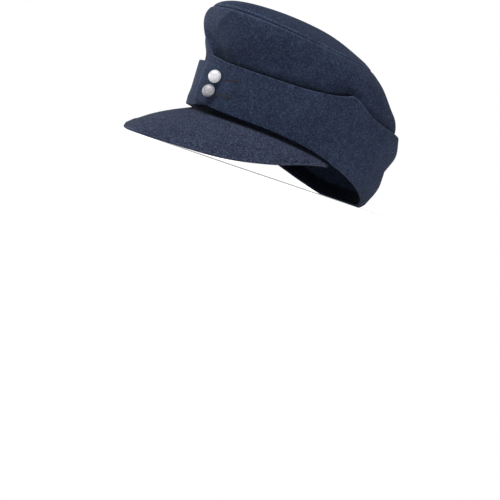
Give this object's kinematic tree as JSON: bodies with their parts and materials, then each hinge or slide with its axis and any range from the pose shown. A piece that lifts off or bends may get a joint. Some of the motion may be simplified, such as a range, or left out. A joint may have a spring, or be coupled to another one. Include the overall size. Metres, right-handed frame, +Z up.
{
  "type": "field cap",
  "caption": "Wool field cap with a soft slouched crown, a turned-up flap buttoned in front and a stiff covered peak.",
  "frame": {"origin": "middle of the bottom of the cap's bounding box, on the surface that it rests on", "axes": "+Z up, -Y towards the front where the peak is, +X towards the wearer's left"},
  "size_m": [0.1876, 0.2791, 0.1495],
  "materials": {
    "wool": "felted blue-grey wool cloth",
    "facing": "plain grey facing cloth",
    "metal": "matt grained silver-grey metal"
  },
  "bodies": {
    "root": {"crown_side": "wool", "crown_top": "wool", "flap_left": "wool", "flap_right": "wool", "peak_top": "wool", "peak_facing": "facing", "button_upper": "metal", "button_lower": "metal"}
  },
  "joints": []
}
